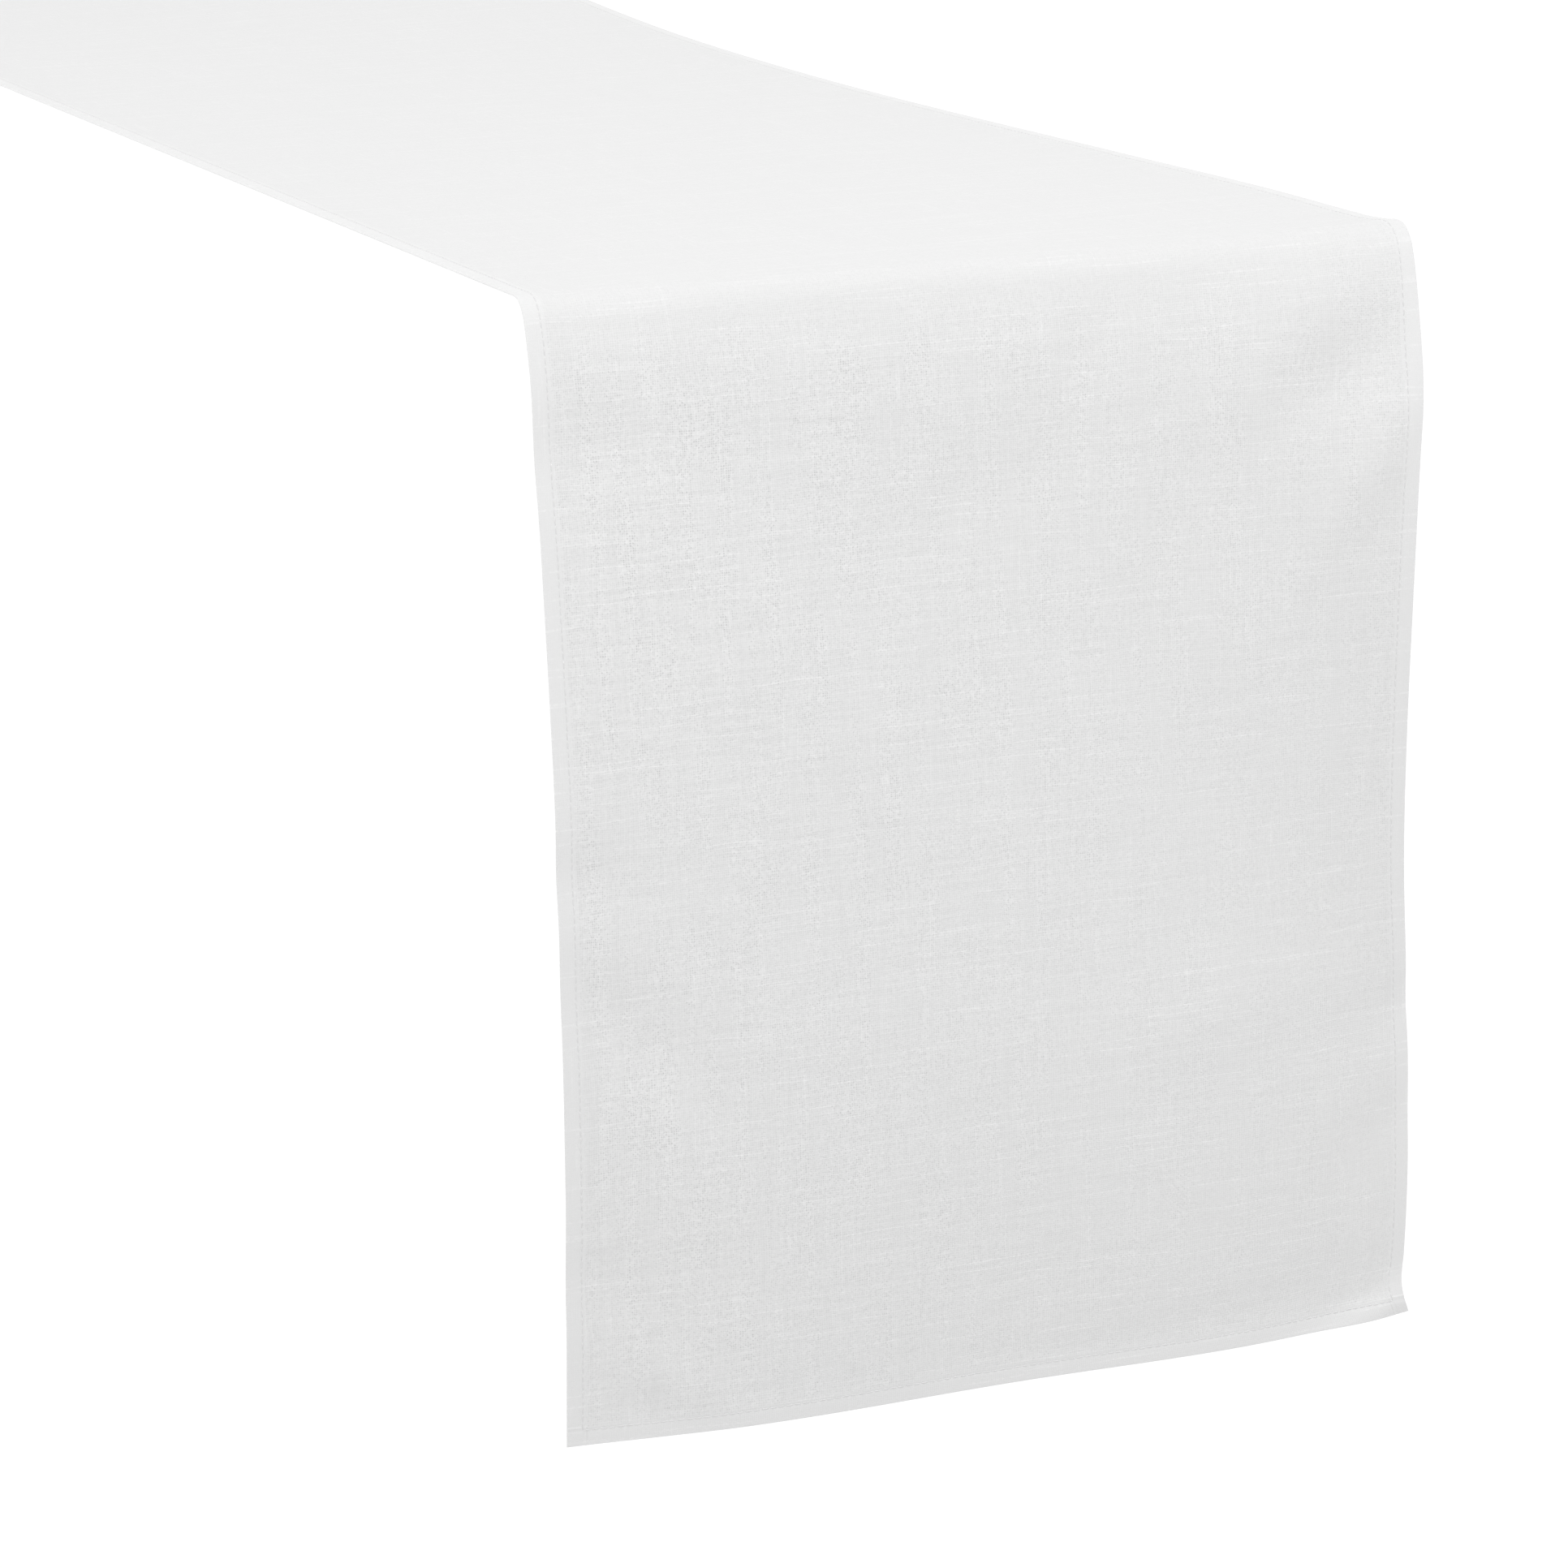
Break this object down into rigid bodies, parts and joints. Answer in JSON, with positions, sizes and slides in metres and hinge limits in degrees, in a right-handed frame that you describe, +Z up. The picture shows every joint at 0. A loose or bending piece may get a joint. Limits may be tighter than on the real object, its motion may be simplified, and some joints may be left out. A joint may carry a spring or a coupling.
{
  "type": "table runner",
  "caption": "Long narrow hemmed cloth that lies along a table and hangs over both of its ends.",
  "frame": {"origin": "on the table top, under the middle of the runner", "axes": "+X across the runner to the right as seen from the front, +Y along it from the front drop to the back drop, +Z up from the table"},
  "size_m": [0.3048, 2.0312, 0.3731],
  "materials": {
    "cloth": "plain weave with slubs, white, matt",
    "sewing_thread": "spun thread, white, slight sheen"
  },
  "bodies": {
    "top_run": {"back_bend": "cloth", "back_bend_threads": "sewing_thread", "front_bend": "cloth", "front_bend_threads": "sewing_thread", "table_bobbin_thread_left": "sewing_thread", "table_bobbin_thread_right": "sewing_thread", "table_field": "cloth", "table_hem_left": "cloth", "table_hem_right": "cloth", "table_needle_thread_left": "sewing_thread", "table_needle_thread_right": "sewing_thread"},
    "front_drop": {"front_bobbin_thread_end": "sewing_thread", "front_bobbin_thread_left": "sewing_thread", "front_bobbin_thread_right": "sewing_thread", "front_end_hem": "cloth", "front_field": "cloth", "front_hem_left": "cloth", "front_hem_right": "cloth", "front_needle_thread_end": "sewing_thread", "front_needle_thread_left": "sewing_thread", "front_needle_thread_right": "sewing_thread", "front_shoulder": "cloth"},
    "back_drop": {"back_bobbin_thread_end": "sewing_thread", "back_bobbin_thread_left": "sewing_thread", "back_bobbin_thread_right": "sewing_thread", "back_end_hem": "cloth", "back_field": "cloth", "back_hem_left": "cloth", "back_hem_right": "cloth", "back_needle_thread_end": "sewing_thread", "back_needle_thread_left": "sewing_thread", "back_needle_thread_right": "sewing_thread", "back_shoulder": "cloth"}
  },
  "joints": [
    {"name": "front_drop_hinge", "type": "hinge", "parent": "top_run", "child": "front_drop", "pos_m": [0, -0.99966, -0.00064], "axis": [-1, 0, 0], "range_deg": [0, 90]},
    {"name": "back_drop_hinge", "type": "hinge", "parent": "top_run", "child": "back_drop", "pos_m": [0, 0.99966, -0.00064], "axis": [1, 0, 0], "range_deg": [0, 90]}
  ]
}
